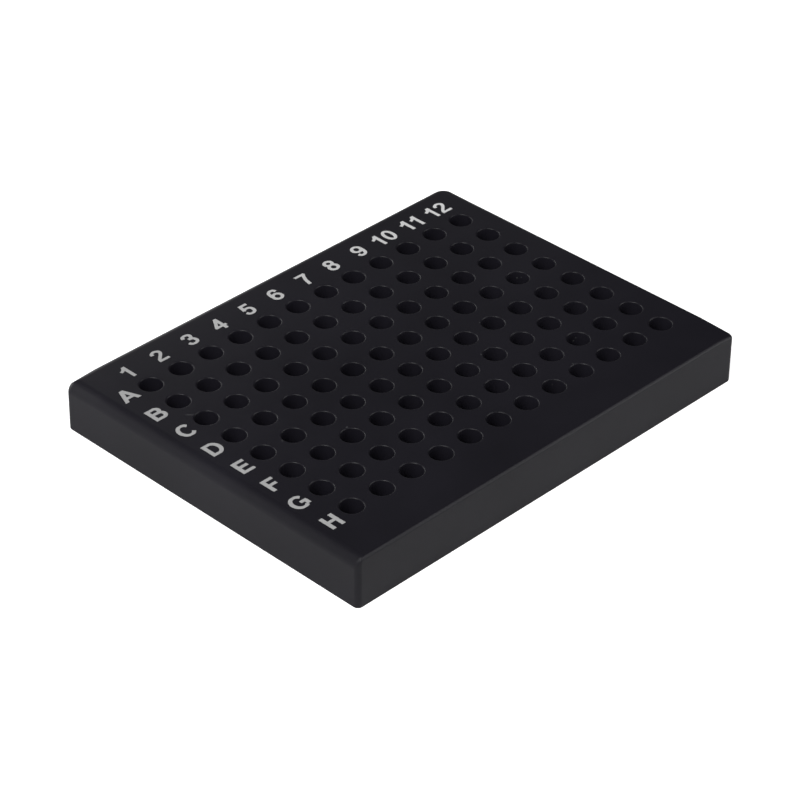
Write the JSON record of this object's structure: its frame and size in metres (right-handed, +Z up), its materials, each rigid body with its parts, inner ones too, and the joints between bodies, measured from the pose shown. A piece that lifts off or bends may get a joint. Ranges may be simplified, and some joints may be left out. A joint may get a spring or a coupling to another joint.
{
  "type": "microcentrifuge tube rack",
  "caption": "Low rectangular block with a grid of round holes that hold small sample tubes upright, with numbered columns and lettered rows.",
  "frame": {"origin": "centre of the bounding box, on the underside that the rack stands on", "axes": "+X along the rows of holes, away from column 1 (the longest side), +Y towards row A, +Z up"},
  "size_m": [0.1206, 0.0922, 0.0127],
  "materials": {
    "block": "satin bluish black, smooth",
    "marks": "flat light grey printed ink"
  },
  "bodies": {
    "root": {"rack_block": "block"}
  },
  "joints": []
}
